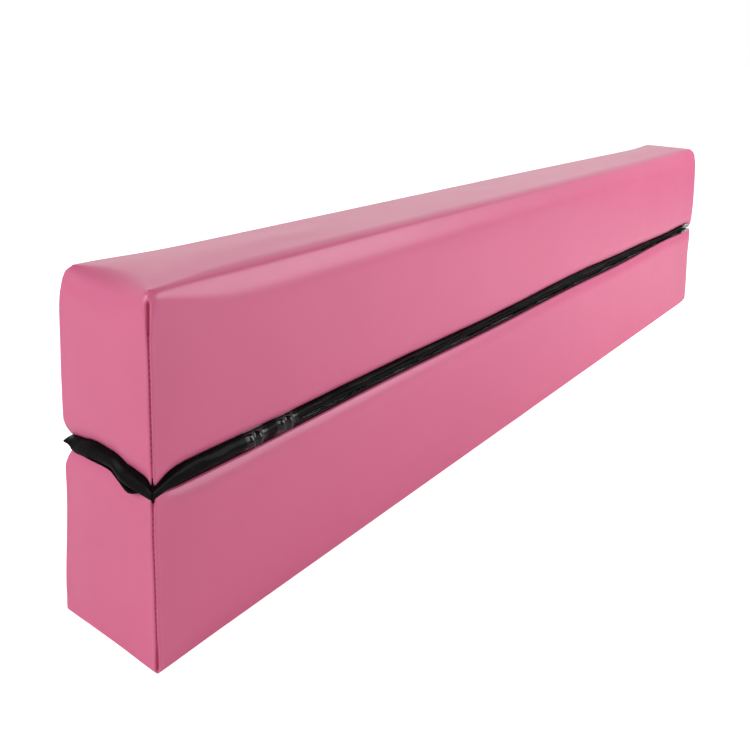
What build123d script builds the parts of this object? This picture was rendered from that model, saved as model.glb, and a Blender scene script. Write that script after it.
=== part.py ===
# A gymnastics balance beam that folds in half, stored shut: two foam blocks in satin covers,
# stacked with their base sheets face to face. The base sheet runs from one block to the other
# round one end, and that fold is the hinge.
#
# Millimetres. The origin is the centre of the lower block's resting face, +X runs along the
# beam to the fold, -Y is the side with the zip sliders, and +Z is up.
#
# Each piece is drawn for the upper block and mirrored in the fold plane for the lower one.
# A "height" is counted from the fold plane, and an "inset" in from the cover's side faces.
import os

from build123d import *

# ---- driving dimensions ----
BLOCK_LENGTH = 1150  # half of the unfolded beam
WIDTH = 100  # the walking surface
BLOCK_HEIGHT = 134  # fold plane to walking surface

CORNER_RADIUS = 4  # upright corners of the cover
TOP_RADIUS = 11  # long edges of the walking surface
COVER_WALL = 1
SHOULDER_HEIGHT = 16.5  # the sides turn in below this
MARGIN_HEIGHT = 10.5  # and stand upright again below this
HEM_HEIGHT = 7.8  # the cover's lower edge
HEM_INSET = 5
HEM_RADIUS = 1.5

FOAM_GAP = 0.3  # between the foam and the cover
FOAM_FLOOR = 2  # underside of the foam, on the base sheet's seam allowance
FOAM_LEDGE = 9.8  # inset of the foam behind the zip
FOAM_LEDGE_HEIGHT = 10
FOAM_FULL_HEIGHT = 17.5  # the foam has its whole width above this
FOAM_LEDGE_RADIUS = 4
FOAM_JOINTS = [45, 89]  # heights where the foam planks are welded together

SHEET_GAP = 0.2  # half of the gap between the two base sheets
SHEET_WALL = 1

TAPE_INSET = 6.1  # outer face of the zip tape
TAPE_WALL = 0.5
TAPE_RADIUS = 5  # the zip's bend at the free end
TAPE_TOP = 11
TAPE_END = 8  # from the tape's ends to the fold
ALLOWANCE_INSET = 16  # the base tape lies under the foam to here
ALLOWANCE_WALL = 0.4
COIL_INSET = 5.3
COIL_DEPTH = 2.1
COIL_RADIUS = 5.8
BASE_COIL = (2.3, 4.1)  # heights of the two rows of the coil
COVER_COIL = (5.3, 7.1)

SLIDER_X = BLOCK_LENGTH / 2 - 36  # the closed slider's middle
SLIDER_LENGTH = 11
SLIDER_HEIGHTS = (1.9, 7.5)
SLIDER_PLATE = 1
SLIDER_INSETS = (3.7, 7.7)  # outer faces of the front and back plates
FLANGE = (0.3, 0.5)  # the rim along each edge of a plate, thickness and depth
WEB_LENGTH = 1.5
WEB_WALL = 0.6
BRIDGE_LENGTH = 7
BRIDGE_WIDTH = 1.4
BRIDGE_WALL = 1.2
BRIDGE_REACH = 3.3  # out from the front plate
STOP_GAP = 0.3
STOP_LENGTH = 2
BOTTOM_STOP = (11, 14)  # from the fold, on the far side

PULL_PIVOT = (1.6, 2.4)  # from the slider's middle towards the fold, and inset
PULL_LENGTH = 28
PULL_WALL = 1
PULL_WINDOW = (3.7, 5.7)  # heights of the opening that clears the bridge
PULL_WINDOW_LENGTH = 4
PULL_BAR_RADIUS = 0.5

FLAP_WALL = 0.8
FLAP_REACH = 5  # how far the flap stands out past the sides
FLAP_DROP = {"upper": 0.5, "lower": 15}  # height of its hanging edge
FLAP_ENDS = {"slider": 42, "far": 6}  # from the flap's two ends to the fold

THREAD_RADIUS = 0.4
THREAD_HEIGHTS = (18, 122)

FOLD_AXIS_X = BLOCK_LENGTH / 2 + 2  # the hinge line, in the fold plane

# ---- worked out ----
FREE_X = -BLOCK_LENGTH / 2
FOLD_X = BLOCK_LENGTH / 2
FOLD_PLANE = Plane.XY.offset(BLOCK_HEIGHT)
COIL_END_X = SLIDER_X + SLIDER_LENGTH / 2 + STOP_GAP
HALVES = ("lower", "upper")


def level(height):
    """The plane at a height above the fold plane."""
    return FOLD_PLANE.offset(height)


def side_y(inset):
    """The place across the beam of an inset on the slider side."""
    return inset - WIDTH / 2


def solid_box(x, y, height):
    """Add a box between two values on each axis."""
    spans = (x, y, height)
    middle = [sum(span) / 2 for span in spans]
    with Locations((middle[0], middle[1], BLOCK_HEIGHT + middle[2])):
        Box(*(abs(span[1] - span[0]) for span in spans))


def block_outline(inset, fold_inset, radius):
    """Draw a block's plan, set in by one distance on three sides and another at the fold."""
    with Locations(((inset - fold_inset) / 2, 0)):
        RectangleRounded(BLOCK_LENGTH - inset - fold_inset, WIDTH - 2 * inset, radius)


def band_outline(outer, inner, radius, slider_end, far_end):
    """Draw a U in plan: along both sides and round the free end, between two insets."""
    spare = 50  # past the fold, before both ends are cut
    for inset, mode in ((outer, Mode.ADD), (inner, Mode.SUBTRACT)):
        bend = radius - (inset - outer)
        with Locations(((inset + spare) / 2, 0)):
            if bend > 0:
                RectangleRounded(BLOCK_LENGTH - inset + spare, WIDTH - 2 * inset, bend, mode=mode)
            else:
                Rectangle(BLOCK_LENGTH - inset + spare, WIDTH - 2 * inset, mode=mode)
    for end, side in ((slider_end, -1), (far_end, 1)):
        with Locations((FOLD_X - end + spare, side * WIDTH)):
            Rectangle(2 * spare, 2 * WIDTH, mode=Mode.SUBTRACT)


def write(half, name, piece):
    """Write a piece of one half, mirrored in the fold plane if it is the lower one."""
    with BuildPart() as placed:
        add(piece.part)
        if half == "lower":
            mirror(about=FOLD_PLANE, mode=Mode.REPLACE)
    placed.part.label = f"{half}_{name}"
    export_step(placed.part, f"parts/{half}_{name}.step")


def block_form(wall):
    """The outer form of a covered block, drawn in by a wall all round."""
    with BuildPart() as form:
        with BuildSketch(level(SHOULDER_HEIGHT)):
            block_outline(wall, wall, CORNER_RADIUS - wall)
        extrude(amount=BLOCK_HEIGHT - SHOULDER_HEIGHT - wall)
        top_edges = form.faces().sort_by(Axis.Z)[-1].edges()
        fillet(top_edges, TOP_RADIUS - wall)
        with BuildSketch(level(MARGIN_HEIGHT)):
            block_outline(HEM_INSET + wall, wall, HEM_RADIUS)
        with BuildSketch(level(SHOULDER_HEIGHT)):
            block_outline(wall, wall, CORNER_RADIUS - wall)
        loft()
        with BuildSketch(level(HEM_HEIGHT)):
            block_outline(HEM_INSET + wall, wall, HEM_RADIUS)
        extrude(amount=MARGIN_HEIGHT - HEM_HEIGHT)
    return form


def cover():
    """The satin cover: one cross-shaped cut, sewn at its four upright corners."""
    outside, inside = block_form(0), block_form(COVER_WALL)
    with BuildPart() as piece:
        add(outside.part)
        add(inside.part, mode=Mode.SUBTRACT)
        # the end wall goes on down to the base sheet, which it is sewn to at the fold
        half_width = WIDTH / 2 - HEM_INSET - HEM_RADIUS
        solid_box(
            (FOLD_X - COVER_WALL, FOLD_X),
            (-half_width, half_width),
            (SHEET_GAP + SHEET_WALL, HEM_HEIGHT),
        )
    return piece


def foam_base_layer():
    """The plank on the base sheet, cut back below for the zip."""
    gap = COVER_WALL + FOAM_GAP
    with BuildPart() as piece:
        with BuildSketch(level(FOAM_FLOOR)):
            block_outline(FOAM_LEDGE, gap, FOAM_LEDGE_RADIUS)
        extrude(amount=FOAM_LEDGE_HEIGHT - FOAM_FLOOR)
        with BuildSketch(level(FOAM_LEDGE_HEIGHT)):
            block_outline(FOAM_LEDGE, gap, FOAM_LEDGE_RADIUS)
        with BuildSketch(level(FOAM_FULL_HEIGHT)):
            block_outline(gap, gap, CORNER_RADIUS - gap)
        loft()
        with BuildSketch(level(FOAM_FULL_HEIGHT)):
            block_outline(gap, gap, CORNER_RADIUS - gap)
        extrude(amount=FOAM_JOINTS[0] - FOAM_FULL_HEIGHT)
    return piece


def foam_middle_layer():
    """The plank between the other two."""
    gap = COVER_WALL + FOAM_GAP
    with BuildPart() as piece:
        with BuildSketch(level(FOAM_JOINTS[0])):
            block_outline(gap, gap, CORNER_RADIUS - gap)
        extrude(amount=FOAM_JOINTS[1] - FOAM_JOINTS[0])
    return piece


def foam_crown_layer():
    """The plank under the walking surface, with its edges rounded."""
    gap = COVER_WALL + FOAM_GAP
    with BuildPart() as piece:
        with BuildSketch(level(FOAM_JOINTS[1])):
            block_outline(gap, gap, CORNER_RADIUS - gap)
        extrude(amount=BLOCK_HEIGHT - gap - FOAM_JOINTS[1])
        fillet(piece.faces().sort_by(Axis.Z)[-1].edges(), TOP_RADIUS - gap)
    return piece


def base_sheet():
    """The black sheet that closes the block below and runs on into the fold."""
    with BuildPart() as piece:
        with BuildSketch(level(SHEET_GAP)):
            block_outline(HEM_INSET, 0, HEM_RADIUS)
        extrude(amount=SHEET_WALL)
    return piece


def zip_base_tape():
    """The half of the zip that is sewn to the base sheet, with its allowance turned in."""
    seat = SHEET_GAP + SHEET_WALL
    with BuildPart() as piece:
        with BuildSketch(level(seat)):
            band_outline(TAPE_INSET, ALLOWANCE_INSET, TAPE_RADIUS, TAPE_END, TAPE_END)
        extrude(amount=ALLOWANCE_WALL)
        with BuildSketch(level(seat + ALLOWANCE_WALL)):
            band_outline(TAPE_INSET, TAPE_INSET + TAPE_WALL, TAPE_RADIUS, TAPE_END, TAPE_END)
        extrude(amount=BASE_COIL[0] - seat - ALLOWANCE_WALL)
    return piece


def zip_cover_tape():
    """The half of the zip that is sewn inside the cover's hem."""
    with BuildPart() as piece:
        with BuildSketch(level(COVER_COIL[1])):
            band_outline(TAPE_INSET, TAPE_INSET + TAPE_WALL, TAPE_RADIUS, TAPE_END, TAPE_END)
        extrude(amount=TAPE_TOP - COVER_COIL[1])
    return piece


def zip_coil(heights):
    """One row of the nylon coil, as the bead that it fills."""
    with BuildPart() as piece:
        with BuildSketch(level(heights[0])):
            band_outline(
                COIL_INSET, COIL_INSET + COIL_DEPTH, COIL_RADIUS, FOLD_X - COIL_END_X, BOTTOM_STOP[1]
            )
        extrude(amount=heights[1] - heights[0])
    return piece


def zip_stops():
    """The two stops past the closed slider, and the one that holds the coil's other end."""
    coil = (COIL_INSET, COIL_INSET + COIL_DEPTH)
    with BuildPart() as piece:
        for heights in (BASE_COIL, COVER_COIL):
            near = [side_y(inset) for inset in coil]
            solid_box((COIL_END_X, COIL_END_X + STOP_LENGTH), near, heights)
        far = [-side_y(inset) for inset in reversed(coil)]
        ends = (FOLD_X - BOTTOM_STOP[1], FOLD_X - BOTTOM_STOP[0])
        solid_box(ends, far, (BASE_COIL[0], COVER_COIL[1]))
    return piece


def zip_flap(half):
    """The glossy strip over the zip, with sharp mitred corners at the free end."""
    ends = (FLAP_ENDS["slider"], FLAP_ENDS["far"])
    drop = FLAP_DROP[half]
    with BuildPart() as piece:
        with BuildSketch(level(HEM_HEIGHT)):
            band_outline(-FLAP_REACH, HEM_INSET, 0, *ends)
        extrude(amount=FLAP_WALL)
        hang = (drop, HEM_HEIGHT) if drop < HEM_HEIGHT else (HEM_HEIGHT + FLAP_WALL, drop)
        with BuildSketch(level(hang[0])):
            band_outline(-FLAP_REACH, FLAP_WALL - FLAP_REACH, 0, *ends)
        extrude(amount=hang[1] - hang[0])
    return piece


def corner_seam_thread():
    """The thread that closes the cover's four upright corners."""
    reach = CORNER_RADIUS + 1.05 * THREAD_RADIUS  # from the corner's own centre
    offset = CORNER_RADIUS - reach * 0.5**0.5
    with BuildPart() as piece:
        with BuildSketch(level(THREAD_HEIGHTS[0])):
            with GridLocations(BLOCK_LENGTH - 2 * offset, WIDTH - 2 * offset, 2, 2):
                Circle(THREAD_RADIUS)
        extrude(amount=THREAD_HEIGHTS[1] - THREAD_HEIGHTS[0])
    return piece


def zip_slider():
    """The slider: two plates joined by a web, with a bridge that holds the pull."""
    x = (SLIDER_X - SLIDER_LENGTH / 2, SLIDER_X + SLIDER_LENGTH / 2)
    front, back = SLIDER_INSETS
    rims = (
        (SLIDER_HEIGHTS[0], SLIDER_HEIGHTS[0] + FLANGE[0]),
        (SLIDER_HEIGHTS[1] - FLANGE[0], SLIDER_HEIGHTS[1]),
    )
    middle = sum(SLIDER_HEIGHTS) / 2
    with BuildPart() as piece:
        for inset in (front, back):
            solid_box(x, (side_y(inset), side_y(inset + SLIDER_PLATE)), SLIDER_HEIGHTS)
        for rim in rims:
            inner = front + SLIDER_PLATE
            solid_box(x, (side_y(inner), side_y(inner + FLANGE[1])), rim)
        solid_box(
            (x[1] - WEB_LENGTH, x[1]),
            (side_y(front), side_y(back + SLIDER_PLATE)),
            (middle - WEB_WALL / 2, middle + WEB_WALL / 2),
        )
        bridge_x = (SLIDER_X - BRIDGE_LENGTH / 2, SLIDER_X + BRIDGE_LENGTH / 2)
        bridge_heights = (middle - BRIDGE_WIDTH / 2, middle + BRIDGE_WIDTH / 2)
        solid_box(bridge_x, (side_y(front - BRIDGE_REACH), side_y(front)), bridge_heights)
        with BuildSketch(level(bridge_heights[0])):
            with Locations((SLIDER_X, side_y(front - (BRIDGE_REACH - BRIDGE_WALL) / 2))):
                Rectangle(BRIDGE_LENGTH - 2 * BRIDGE_WALL, BRIDGE_REACH - BRIDGE_WALL)
        extrude(amount=BRIDGE_WIDTH, mode=Mode.SUBTRACT)
    return piece


def zip_pull():
    """The flat pull, whose end bar turns inside the slider's bridge."""
    pivot_x, pivot_y = SLIDER_X + PULL_PIVOT[0], side_y(PULL_PIVOT[1])
    y = (pivot_y - PULL_WALL / 2, pivot_y + PULL_WALL / 2)
    with BuildPart() as piece:
        solid_box((pivot_x, pivot_x + PULL_LENGTH), y, SLIDER_HEIGHTS)
        end = piece.edges().filter_by(Axis.Y).group_by(Axis.X)[-1]
        fillet(end, 2)
        with BuildSketch(level(PULL_WINDOW[0])):
            with Locations((pivot_x + PULL_WINDOW_LENGTH / 2, pivot_y)):
                Rectangle(PULL_WINDOW_LENGTH, 2 * PULL_WALL)
        extrude(amount=PULL_WINDOW[1] - PULL_WINDOW[0], mode=Mode.SUBTRACT)
        with BuildSketch(level(SLIDER_HEIGHTS[0])):
            with Locations((pivot_x, pivot_y)):
                Circle(PULL_BAR_RADIUS)
        extrude(amount=SLIDER_HEIGHTS[1] - SLIDER_HEIGHTS[0])
    return piece


def hinge_fold():
    """The bend of the base sheet from one block to the other, drawn closed."""
    inner, outer = SHEET_GAP, SHEET_GAP + SHEET_WALL
    with BuildPart() as piece:
        with BuildSketch(Plane.XZ):
            for radius, mode in ((outer, Mode.ADD), (inner, Mode.SUBTRACT)):
                with Locations((FOLD_AXIS_X, BLOCK_HEIGHT)):
                    Circle(radius, mode=mode)
                with Locations(((FOLD_X + FOLD_AXIS_X) / 2, BLOCK_HEIGHT)):
                    Rectangle(FOLD_AXIS_X - FOLD_X, 2 * radius, mode=mode)
        extrude(amount=WIDTH / 2 - HEM_INSET, both=True)
    return piece


os.makedirs("parts", exist_ok=True)
both_halves = {
    "cover": cover(),
    "foam_base_layer": foam_base_layer(),
    "foam_middle_layer": foam_middle_layer(),
    "foam_crown_layer": foam_crown_layer(),
    "base_sheet": base_sheet(),
    "zip_base_tape": zip_base_tape(),
    "zip_cover_tape": zip_cover_tape(),
    "zip_base_coil": zip_coil(BASE_COIL),
    "zip_cover_coil": zip_coil(COVER_COIL),
    "zip_stops": zip_stops(),
    "zip_slider": zip_slider(),
    "zip_pull": zip_pull(),
    "corner_seam_thread": corner_seam_thread(),
}
for half in HALVES:
    for name, piece in both_halves.items():
        write(half, name, piece)
    write(half, "zip_flap", zip_flap(half))

fold = hinge_fold()
fold.part.label = "hinge_fold"
export_step(fold.part, "parts/hinge_fold.step")
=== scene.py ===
# A foam balance beam, folded in half for storage: two satin-covered blocks stacked base to base,
# a zip under a glossy flap round each, and the base sheet's fold at the far end.
import math

import bpy
import numpy as np
from mathutils import Matrix, Vector, kdtree


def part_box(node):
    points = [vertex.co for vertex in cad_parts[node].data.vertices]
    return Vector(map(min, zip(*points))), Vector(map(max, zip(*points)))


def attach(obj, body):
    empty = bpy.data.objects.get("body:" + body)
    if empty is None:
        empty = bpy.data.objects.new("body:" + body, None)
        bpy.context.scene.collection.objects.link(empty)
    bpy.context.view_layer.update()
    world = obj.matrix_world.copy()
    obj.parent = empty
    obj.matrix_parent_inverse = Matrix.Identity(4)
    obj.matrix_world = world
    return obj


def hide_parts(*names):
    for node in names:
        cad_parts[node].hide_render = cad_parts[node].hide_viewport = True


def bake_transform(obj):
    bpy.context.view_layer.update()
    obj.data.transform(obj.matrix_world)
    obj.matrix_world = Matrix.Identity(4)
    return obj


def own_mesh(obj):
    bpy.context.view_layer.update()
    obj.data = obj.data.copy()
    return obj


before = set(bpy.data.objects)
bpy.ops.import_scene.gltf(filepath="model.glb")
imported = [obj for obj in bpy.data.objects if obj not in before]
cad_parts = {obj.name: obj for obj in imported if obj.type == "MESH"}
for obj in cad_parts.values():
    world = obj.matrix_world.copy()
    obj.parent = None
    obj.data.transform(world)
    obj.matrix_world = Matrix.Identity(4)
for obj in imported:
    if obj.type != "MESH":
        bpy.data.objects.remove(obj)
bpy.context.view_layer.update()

# ---- camera, floor and studio light ----
# The beam stands on a pale seamless floor. A broad soft light stands before its long side, a
# larger one lights the free end, and the walls of the studio are bright low down only.
EYE = Vector((-0.8813, -0.4501, 0.4217))
HEADING, DIP, ROLL = math.radians(53.34), math.radians(12.53), math.radians(2.02)
LENS, SENSOR = 39.71, 36.0
FRAME_SHIFT = -0.1946

look = Vector((math.sin(HEADING) * math.cos(DIP), math.cos(HEADING) * math.cos(DIP), -math.sin(DIP)))
across = look.cross(Vector((0, 0, 1))).normalized()
upward = across.cross(look)
right = across * math.cos(ROLL) + upward * math.sin(ROLL)
above = upward * math.cos(ROLL) - across * math.sin(ROLL)
camera = bpy.data.objects.new("camera", bpy.data.cameras.new("camera"))
camera.matrix_world = Matrix.Translation(EYE) @ Matrix((right, above, -look)).transposed().to_4x4()
camera.data.lens, camera.data.sensor_width, camera.data.shift_y = LENS, SENSOR, FRAME_SHIFT
bpy.context.scene.collection.objects.link(camera)
bpy.context.scene.camera = camera
bpy.context.scene.view_settings.view_transform = "Standard"


def link(name, data):
    """A new object in the scene, at the origin."""
    piece = bpy.data.objects.new(name, data)
    bpy.context.scene.collection.objects.link(piece)
    return piece


def softbox(name, place, target, width, height, power):
    """A rectangular soft light that faces a target."""
    light = bpy.data.lights.new(name, "AREA")
    light.shape, light.size, light.size_y, light.energy = "RECTANGLE", width, height, power
    lamp = link(name, light)
    aim = (Vector(target) - Vector(place)).to_track_quat("-Z", "Y")
    lamp.matrix_world = Matrix.Translation(place) @ aim.to_matrix().to_4x4()


softbox("side_light", (0.58, -1.05, 0.82), (0.25, 0, 0.15), 1.2, 0.9, 14.2)
softbox("end_light", (-2.5, 0.45, 1.45), (-0.5, 0, 0.15), 1.4, 1.4, 31)
softbox("top_light", (-0.9, 0.1, 2.2), (-0.3, 0, 0.2), 1.2, 1.2, 1.2)


class Term:
    """A value that varies over a surface. Arithmetic on it adds Math nodes."""

    def __init__(self, finish, socket):
        self.finish, self.socket = finish, socket

    def math(self, operation, first, second=0.0):
        return self.finish.node("ShaderNodeMath", {"operation": operation}, {0: first, 1: second})

    def __add__(self, other):
        return self.math("ADD", self, other)

    def __sub__(self, other):
        return self.math("SUBTRACT", self, other)

    def __rsub__(self, other):
        return self.math("SUBTRACT", other, self)

    def __mul__(self, other):
        return self.math("MULTIPLY", self, other)

    __radd__, __rmul__ = __add__, __mul__


class Finish:
    """The nodes of one material, or of the studio's walls."""

    def __init__(self, owner, **constants):
        owner.use_nodes = True
        self.owner, self.tree = owner, owner.node_tree
        self.shader = self.tree.nodes.get("Principled BSDF") or self.tree.nodes["Background"]
        for name, value in constants.items():
            self.shader.inputs[name.replace("_", " ")].default_value = value

    def node(self, kind, settings=None, sockets=None, output=0):
        """Add a node: its settings, then the values or links of its sockets. Gives one output."""
        made = self.tree.nodes.new(kind)
        for name, value in (settings or {}).items():
            setattr(made, name, value)
        for name, value in (sockets or {}).items():
            if isinstance(value, Term):
                self.tree.links.new(value.socket, made.inputs[name])
            else:
                made.inputs[name].default_value = value
        return Term(self, made.outputs[output])

    def mix(self, share, first, second):
        """A colour between two, by a share of the second."""
        return self.node("ShaderNodeMix", {"data_type": "RGBA"}, {0: share, 6: first, 7: second}, 2)

    def place(self):
        """Where a point of the piece is, in the beam's own frame."""
        return self.node("ShaderNodeTexCoord", output="Object")

    def part(self, vector, axis):
        """One part of a vector: X, Y or Z."""
        return self.node("ShaderNodeSeparateXYZ", None, {0: vector}, axis)

    def ramp(self, value, low, high):
        """A share from 0 at one value to 1 at another."""
        return self.node("ShaderNodeMapRange", None, {"Value": value, "From Min": low, "From Max": high})

    def noise(self, where, scale, detail=2.0):
        """A cloudy value from 0 to 1."""
        return self.node("ShaderNodeTexNoise", None, {"Vector": where, "Scale": scale, "Detail": detail})

    def cells(self, where, scale, feature="F1"):
        """A value that varies over each of many small cells."""
        return self.node("ShaderNodeTexVoronoi", {"feature": feature}, {"Vector": where, "Scale": scale})

    def bump(self, height, distance, below=None):
        """Raise the surface by a height from 0 to 1, times a distance in metres."""
        sockets = {"Height": height, "Distance": distance}
        if below:
            sockets["Normal"] = below
        return self.node("ShaderNodeBump", None, sockets)

    def feed(self, **terms):
        """Link values that vary to the shader."""
        for name, term in terms.items():
            self.tree.links.new(term.socket, self.shader.inputs[name.replace("_", " ")])
        return self.owner


studio = bpy.data.worlds.new("studio")
bpy.context.scene.world = studio
walls = Finish(studio, Color=(1, 1, 1, 1))
outward = walls.node("ShaderNodeTexCoord", output="Generated")
low_down = walls.ramp(walls.part(outward, "Z"), 0.90, 0.30)
depth = walls.ramp(walls.part(outward, "Y"), -0.5, 0.4)
to_right = walls.ramp(walls.part(outward, "X"), -0.3, 0.3)
seen = walls.node("ShaderNodeLightPath", output="Is Camera Ray")
level = low_down * (0.50 + to_right * (1.18 * depth - 0.42))
walls.feed(Strength=seen + level * (1 - seen))


def new_mesh(name, points, faces, *materials):
    """A smooth mesh object from points in metres."""
    mesh = bpy.data.meshes.new(name)
    mesh.from_pydata([tuple(p) for p in points], [], faces)
    mesh.shade_smooth()
    for material in materials:
        mesh.materials.append(material)
    return link(name, mesh)


FLOOR_REACH = 40
corners = [(-FLOOR_REACH, -FLOOR_REACH, 0), (FLOOR_REACH, -FLOOR_REACH, 0),
           (FLOOR_REACH, FLOOR_REACH, 0), (-FLOOR_REACH, FLOOR_REACH, 0)]
pale = Finish(bpy.data.materials.new("pale_floor"), Base_Color=(0.9, 0.9, 0.9, 1), Roughness=0.8,
              Emission_Strength=1.0)
pale.feed(Emission_Color=pale.node("ShaderNodeLightPath", output="Is Camera Ray"))
floor = new_mesh("floor", corners, [(0, 1, 2, 3)], pale.owner)

# ---- the two covers ----
# Satin-faced leathercloth: each cover is one cross-shaped cut, folded down over the foam and
# sewn blind at its four upright corners. Its lower edge is turned in and sewn to the zip.
MM = 0.001
UPWARDS = {"upper": 1, "lower": -1}  # the way each block is built, away from the fold
fold_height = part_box("upper_base_sheet")[0].z / 2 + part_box("lower_base_sheet")[1].z / 2
upper_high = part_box("upper_cover")[1]
HALF_LENGTH = upper_high.x
HALF_WIDTH = upper_high.y
BLOCK_HEIGHT = upper_high.z - fold_height
CLOTH = 0.7 * MM
SWELL, SWELL_PRESSURE, SWELL_SPREAD, SWELL_STEPS = 1.4 * MM, 4.0, 0.013, 20
CORNER_RADIUS, FAR_CORNER_RADIUS = 3 * MM, 7 * MM
HEM_INSET = 5 * MM
ROLL_HEIGHT, ROLL_ANGLE = 15 * MM, math.radians(42)  # the sides roll in above the hem
TURNED_EDGE = [(-1.9, 5.0), (-1.9, 2.6), (-1.8, 0.8), (-1.3, 0.1), (-0.6, -0.1), (-0.1, 0.1)]


def bell(distance, width):
    """1 at nought, falling to 0 past about twice the width."""
    return np.exp(-((distance / width) ** 2))


def ease(value):
    """A smooth step from 0 to 1."""
    value = np.clip(value, 0, 1)
    return value * value * (3 - 2 * value)


def through(value, places, levels):
    """Levels that pass smoothly from each known place to the next."""
    places, levels = np.array(places), np.array(levels)
    k = np.clip(np.searchsorted(places, value) - 1, 0, len(places) - 2)
    return levels[k] + (levels[k + 1] - levels[k]) * ease((value - places[k]) / (places[k + 1] - places[k]))


def edge_profile(shares, turns):
    """How a cover turns from its side to its face: angles at shares of the way round the edge,
    as the reach in and the drop that each step along it has used up."""
    angle = np.radians(through(np.linspace(0, 1, 121), shares, turns))
    reach, climb = np.cumsum(np.sin(angle)), np.cumsum(np.cos(angle))
    return (reach - reach[0]) / (reach[-1] - reach[0]), (climb - climb[0]) / (climb[-1] - climb[0])


SOFT_EDGE = edge_profile([0, 1], [0, 90])
CREASED_EDGE = edge_profile([0, 0.58, 0.68, 1], [0, 32, 74, 90])  # the long edges bend over a crease


def graded(length, fine, coarse, growth):
    """Stations along a length: close together at both ends, wider between."""
    steps = [fine]
    while steps[-1] * growth < coarse and 2.4 * sum(steps) < length:
        steps.append(steps[-1] * growth)
    between = max(1, round((length - 2 * sum(steps)) / coarse))
    steps = steps + [(length - 2 * sum(steps)) / between] * between + steps[::-1]
    return np.concatenate([[0], np.cumsum(steps)]) - length / 2


def loop_round(along, across):
    """The block's outline as a loop of stations: their places, sides and distances to a corner."""
    long_side, short_side = np.zeros(len(along) - 1), np.zeros(len(across) - 1)
    x = np.concatenate([along[:-1], short_side + HALF_LENGTH, along[:0:-1], short_side - HALF_LENGTH])
    y = np.concatenate([long_side - HALF_WIDTH, across[:-1], long_side + HALF_WIDTH, across[:0:-1]])
    is_long = np.abs(y) > HALF_WIDTH - 1e-6
    to_corner = np.where(is_long, HALF_LENGTH - np.abs(x), HALF_WIDTH - np.abs(y))
    return x, y, is_long, to_corner


def cover_cut(half, x, y, is_long, s):
    """How the cover lies at each station: its hem's height and inset, and how far in and how far
    down its top edge is rounded."""
    at_free_end = ~is_long & (x < 0)
    if half == "upper":
        hem = 8.6 - 5.4 * bell(s, 0.017) + 0.5 * np.sin(x * 19 + 1) * ease(s / 0.05)
        wavy_hem = hem + 3.0 * bell(x - 0.12, 0.13) - 2.2 * bell(x - 0.43, 0.08)
        hem = np.where(is_long & (y < 0), wavy_hem, hem)
        end_hem = through(y, [-0.05, -0.045, -0.023, -0.008, 0.0146, 0.0336, 0.05],
                          [3.2, 5.6, 8.4, 12.6, 13.8, 11.2, 8.4])
        hem = np.where(at_free_end, end_hem, hem)
        hem = np.where(is_long & (y > 0) & (x < 0), hem + 5.2 * bell(s, 0.010), hem)
        swell_up = np.where(is_long, 1 - bell(s, 0.050), 1 - (y / HALF_WIDTH) ** 2)
        corner = 4 * ease(x / HALF_LENGTH) + 3 * ease(y / HALF_WIDTH) * ease(-x / HALF_LENGTH)
        radius = 7 + corner + swell_up * np.where(is_long, 14 - corner, np.where(x < 0, 17, 5))
        drop = 9 + corner + swell_up * np.where(is_long, 19, np.where(x < 0, 16, 3))
    else:
        hem = 7.4 - 3.6 * bell(s, 0.012) - 0.7 * np.sin(x * 17 + 0.4) * ease(s / 0.05)
        hem = np.where(is_long & (y < 0), hem - 1.6 * bell(x - 0.43, 0.08), hem)
        end_hem = through(y, [-0.05, -0.043, -0.029, -0.012, 0.0, 0.05], [3.8, 3.0, 6.5, 2.6, 1.9, 2.2])
        hem = np.where(at_free_end, end_hem, hem)
        hem = np.where(is_long & (y > 0) & (x < 0), hem - 1.6 * bell(s, 0.012), hem)
        radius = 2.6 + 1.4 * (1 - bell(s, 0.03)) + np.where(x > 0, 5 * bell(s, 0.02), 0)
        drop = radius
    inset = HEM_INSET - np.where(y < 0, 3.8, 0.6) * MM * bell(s, 0.010)
    inset = np.where(at_free_end, np.minimum(inset, 3.4 * MM), inset)
    inset = np.where((x < 0) & (y > 0), inset + (4.6 * MM - inset) * bell(s, 0.008), inset)
    return hem * MM, inset, radius * MM, drop * MM


def lean(half, height, x):
    """How far a side stands out or in: the loaded lower block spreads, the upper one narrows."""
    if half == "upper":
        return -(2.0 + 4.0 * ease(x / HALF_LENGTH)) * MM * (height / BLOCK_HEIGHT) ** 2
    return 4.0 * MM * ease((height - 0.03) / 0.115)


def edge_turn(is_long, s, value):
    """The share of the reach in and of the drop at each station, part of the way round an edge."""
    steps = np.linspace(0, 1, len(SOFT_EDGE[0]))
    soft, creased = ([np.interp(value, steps, side) for side in edge] for edge in (SOFT_EDGE, CREASED_EDGE))
    share = np.where(is_long, 1 - bell(s, 0.03), 0)
    return soft[0] + (creased[0] - soft[0]) * share, soft[1] + (creased[1] - soft[1]) * share


def at_corner(values, x, y, s):
    """For each station, the value at the corner that is nearest to it."""
    out = values.copy()
    for corner in np.flatnonzero(s < 1e-9):
        out[(np.sign(x) == np.sign(x[corner])) & (np.sign(y) == np.sign(y[corner]))] = values[corner]
    return out


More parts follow.
